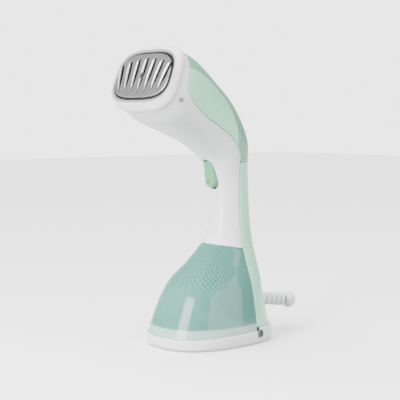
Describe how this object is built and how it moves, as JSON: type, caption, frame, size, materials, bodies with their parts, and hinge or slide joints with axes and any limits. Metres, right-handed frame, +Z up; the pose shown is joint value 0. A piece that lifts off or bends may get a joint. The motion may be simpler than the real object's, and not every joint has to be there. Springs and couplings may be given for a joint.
{
  "type": "handheld steamer",
  "caption": "Handheld garment steamer: tilted steam head on a curved handle, finger trigger, rear cord guard and a pull-off clear water tank that it stands on.",
  "frame": {"origin": "centre of the bounding box at the surface that the base stands on", "axes": "+Z up along the handle, -Y the way the steam plate faces, +Y the way the cord guard leaves, +X to the right seen from the front"},
  "size_m": [0.0938, 0.2026, 0.2789],
  "materials": {
    "white_plastic": "smooth moulded, soft gloss",
    "green_plastic": "smooth moulded, gloss",
    "mint_plastic": "smooth moulded, soft gloss",
    "button_plastic": "fine satin",
    "tinted_tank": "clear tinted moulding with a fine wavy texture at its top front",
    "inner_plastic": "plain moulded",
    "grey_plastic": "plain moulded",
    "black_silicone": "moulded silicone",
    "plug_silicone": "moulded silicone",
    "black_plastic": "plain moulded",
    "plate_metal": "pressed plate, fine satin",
    "screw_steel": "turned",
    "spring_steel": "drawn wire",
    "element_steel": "drawn, dull",
    "cast_aluminium": "as cast",
    "coil_winding": "enamelled wire under clear tape",
    "silicone_hose": "translucent silicone",
    "circuit_board": "solder-mask green",
    "cable_sheath": "soft PVC"
  },
  "bodies": {
    "body": {"front_shell": "white_plastic", "back_cover": "green_plastic", "rear_cover": "green_plastic", "chassis_plate": "inner_plastic", "handle_bulkhead": "inner_plastic", "head_bezel": "white_plastic", "trim_ring": "grey_plastic", "plate_gasket": "black_silicone", "steam_plate": "plate_metal", "plate_screw": "screw_steel", "steam_chamber": "cast_aluminium", "chamber_seal": "black_silicone", "chamber_cover": "cast_aluminium", "chamber_screw_1": "screw_steel", "chamber_screw_2": "screw_steel", "chamber_screw_3": "screw_steel", "chamber_screw_4": "screw_steel", "heating_element": "element_steel", "thermostat": "element_steel", "thermal_fuse": "grey_plastic", "brush_socket_right": "grey_plastic", "brush_socket_left": "grey_plastic", "trigger_bracket": "inner_plastic", "trigger_pin": "screw_steel", "trigger_spring": "spring_steel", "microswitch": "black_plastic", "pump_yoke": "element_steel", "pump_coil": "coil_winding", "pump_tube": "inner_plastic", "pump_spring": "spring_steel", "suction_hose": "silicone_hose", "delivery_hose": "silicone_hose", "suction_port": "grey_plastic", "control_board": "circuit_board", "terminal_block": "inner_plastic", "mains_lead": "cable_sheath", "guard_bush": "white_plastic", "cord_clamp": "grey_plastic"},
    "trigger": {"trigger": "mint_plastic"},
    "switch_plunger": {"switch_plunger": "inner_plastic"},
    "pump_piston": {"pump_piston": "screw_steel"},
    "cord_guard": {"cord_guard": "white_plastic"},
    "tank": {"tank_shell": "tinted_tank", "tank_base": "white_plastic", "tank_valve": "black_silicone", "intake_tube": "silicone_hose", "intake_filter": "grey_plastic", "button_spring_right": "spring_steel", "button_spring_left": "spring_steel"},
    "fill_plug": {"fill_plug": "plug_silicone"},
    "release_button_right": {"release_button_right": "button_plastic"},
    "release_button_left": {"release_button_left": "button_plastic"}
  },
  "joints": [
    {"name": "trigger_hinge", "type": "hinge", "parent": "body", "child": "trigger", "pos_m": [0, -0.00195, 0.1695], "axis": [1, 0, 0], "range_deg": [0, 7], "stiffness_Nm_per_rad": 0.12, "springref_deg": -8.59, "deforming": ["trigger_spring"]},
    {"name": "plunger_slide", "type": "slide", "parent": "body", "child": "switch_plunger", "axis": [0, 1, 0], "range_m": [0, 0.0012]},
    {"name": "piston_slide", "type": "slide", "parent": "body", "child": "pump_piston", "axis": [0, 0, 1], "range_m": [0, 0.003], "stiffness_N_per_m": 150, "deforming": ["pump_spring"]},
    {"name": "guard_swivel", "type": "hinge", "parent": "body", "child": "cord_guard", "pos_m": [0, 0.04605, 0.0348], "axis": [0, 0.989, -0.1478], "range_deg": [-170, 170]},
    {"name": "tank_slide", "type": "slide", "parent": "body", "child": "tank", "axis": [0, 0, -1], "range_m": [0, 0.095]},
    {"name": "plug_turn", "type": "hinge", "parent": "tank", "child": "fill_plug", "pos_m": [0, 0.0097, 0.058], "axis": [0, 1, 0], "range_deg": [0, 90]},
    {"name": "button_right_press", "type": "slide", "parent": "tank", "child": "release_button_right", "axis": [-0.9812, -0.1932, 0], "range_m": [0, 0.0015], "stiffness_N_per_m": 500, "deforming": ["button_spring_right"]},
    {"name": "button_left_press", "type": "slide", "parent": "tank", "child": "release_button_left", "axis": [0.9812, -0.1932, 0], "range_m": [0, 0.0015], "stiffness_N_per_m": 500, "deforming": ["button_spring_left"]}
  ],
  "couplings": [
    {"joint": "plunger_slide", "follows": "trigger_hinge", "m_per_rad": 0.009}
  ]
}
